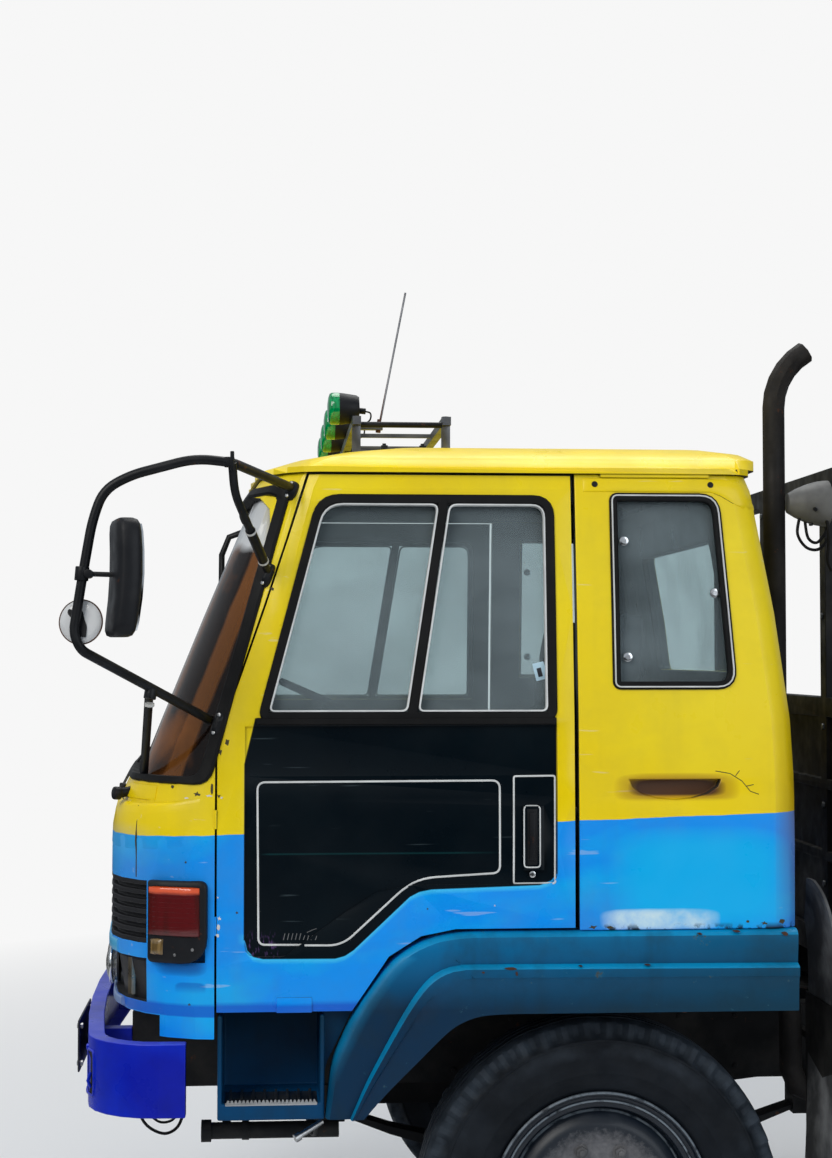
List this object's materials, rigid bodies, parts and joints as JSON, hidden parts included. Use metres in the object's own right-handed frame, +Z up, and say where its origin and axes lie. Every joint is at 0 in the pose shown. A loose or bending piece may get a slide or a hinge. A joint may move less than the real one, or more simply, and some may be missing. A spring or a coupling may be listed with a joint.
{
  "type": "decorated flatbed truck",
  "caption": "Cab-over truck with a tilting sleeper cab painted in bands of colour, mirror arms, a roof rack of marker lamps, a headboard and a flat load bed.",
  "frame": {"origin": "on the ground under the middle of the truck's length, on its centre line", "axes": "+Z up, -X forwards (the cab's nose), -Y to the truck's left side"},
  "size_m": [6.585, 2.87, 3.0606],
  "materials": {
    "cab_paint": "gloss yellow over blue, worn",
    "ultramarine": "gloss",
    "teal_paint": "chipped satin",
    "black_paint": "satin",
    "chassis": "dusty matt",
    "wheel_steel": "worn",
    "galvanised": "dull",
    "glass": "clear",
    "tyre": "dusty",
    "rubber": "matt",
    "dark_plastic": "matt",
    "red_lens": "gloss",
    "seat_cloth": "woven",
    "deck_wood": "weathered"
  },
  "bodies": {
    "chassis": {"frame": "chassis", "front_axle": "chassis", "rear_axle": "chassis", "engine": "chassis", "bumper": "ultramarine", "fuel_tank": "chassis", "battery_box": "chassis", "exhaust_stack": "chassis", "front_flap_left": "rubber", "front_flap_right": "rubber", "bed_frame": "chassis", "bed_floor": "deck_wood", "headboard": "chassis", "rear_mudguard_left": "rubber", "rear_mudguard_right": "rubber", "tail_bar": "chassis"},
    "cab": {"cab_front": "cab_paint", "cab_roof": "cab_paint", "cab_rear_wall": "cab_paint", "cab_floor": "chassis", "quarter_panel_left": "cab_paint", "quarter_panel_right": "cab_paint", "windscreen": "glass", "rear_glass": "glass", "quarter_glass_left": "glass", "quarter_glass_right": "glass", "grille": "dark_plastic", "headlamp_panel": "dark_plastic", "corner_lamp_left": "red_lens", "corner_lamp_right": "red_lens", "fender_left": "teal_paint", "fender_right": "teal_paint", "step_left": "teal_paint", "step_right": "teal_paint", "mirror_left": "black_paint", "mirror_right": "black_paint", "roof_rack": "galvanised", "dashboard": "dark_plastic", "steering_wheel": "dark_plastic", "seat_left": "seat_cloth", "seat_right": "seat_cloth", "bunk": "seat_cloth"},
    "door_left": {"door_left": "cab_paint", "door_glass_left": "glass"},
    "door_right": {"door_right": "cab_paint", "door_glass_right": "glass"},
    "knuckle_left": {"knuckle_left": "chassis"},
    "knuckle_right": {"knuckle_right": "chassis"},
    "front_wheel_left": {"front_tyre_left": "tyre", "front_rim_left": "wheel_steel"},
    "front_wheel_right": {"front_tyre_right": "tyre", "front_rim_right": "wheel_steel"},
    "rear_wheels_left": {"rear_outer_tyre_left": "tyre", "rear_inner_tyre_left": "tyre", "rear_rims_left": "wheel_steel"},
    "rear_wheels_right": {"rear_outer_tyre_right": "tyre", "rear_inner_tyre_right": "tyre", "rear_rims_right": "wheel_steel"}
  },
  "joints": [
    {"name": "cab_tilt", "type": "hinge", "parent": "chassis", "child": "cab", "pos_m": [-3.1075, 0, 0.995], "axis": [0, -1, 0], "range_deg": [0, 50]},
    {"name": "door_left_hinge", "type": "hinge", "parent": "cab", "child": "door_left", "pos_m": [-2.8985, -1.06, 1.24], "axis": [0, 0, -1], "range_deg": [0, 70]},
    {"name": "door_right_hinge", "type": "hinge", "parent": "cab", "child": "door_right", "pos_m": [-2.8985, 1.06, 1.24], "axis": [0, 0, 1], "range_deg": [0, 70]},
    {"name": "steer_left", "type": "hinge", "parent": "chassis", "child": "knuckle_left", "pos_m": [-1.8575, -0.7, 0.4957], "axis": [0, 0, 1], "range_deg": [-35, 35]},
    {"name": "steer_right", "type": "hinge", "parent": "chassis", "child": "knuckle_right", "pos_m": [-1.8575, 0.7, 0.4957], "axis": [0, 0, 1], "range_deg": [-35, 35]},
    {"name": "front_wheel_left_spin", "type": "hinge", "parent": "knuckle_left", "child": "front_wheel_left", "pos_m": [-1.8575, -0.87, 0.49572], "axis": [0, 1, 0], "continuous": true},
    {"name": "front_wheel_right_spin", "type": "hinge", "parent": "knuckle_right", "child": "front_wheel_right", "pos_m": [-1.8575, 0.87, 0.49572], "axis": [0, 1, 0], "continuous": true},
    {"name": "rear_wheels_left_spin", "type": "hinge", "parent": "chassis", "child": "rear_wheels_left", "pos_m": [1.8925, -0.84, 0.49572], "axis": [0, 1, 0], "continuous": true},
    {"name": "rear_wheels_right_spin", "type": "hinge", "parent": "chassis", "child": "rear_wheels_right", "pos_m": [1.8925, 0.84, 0.49572], "axis": [0, 1, 0], "continuous": true}
  ],
  "couplings": [
    {"joint": "steer_right", "follows": "steer_left", "ratio": 1}
  ]
}
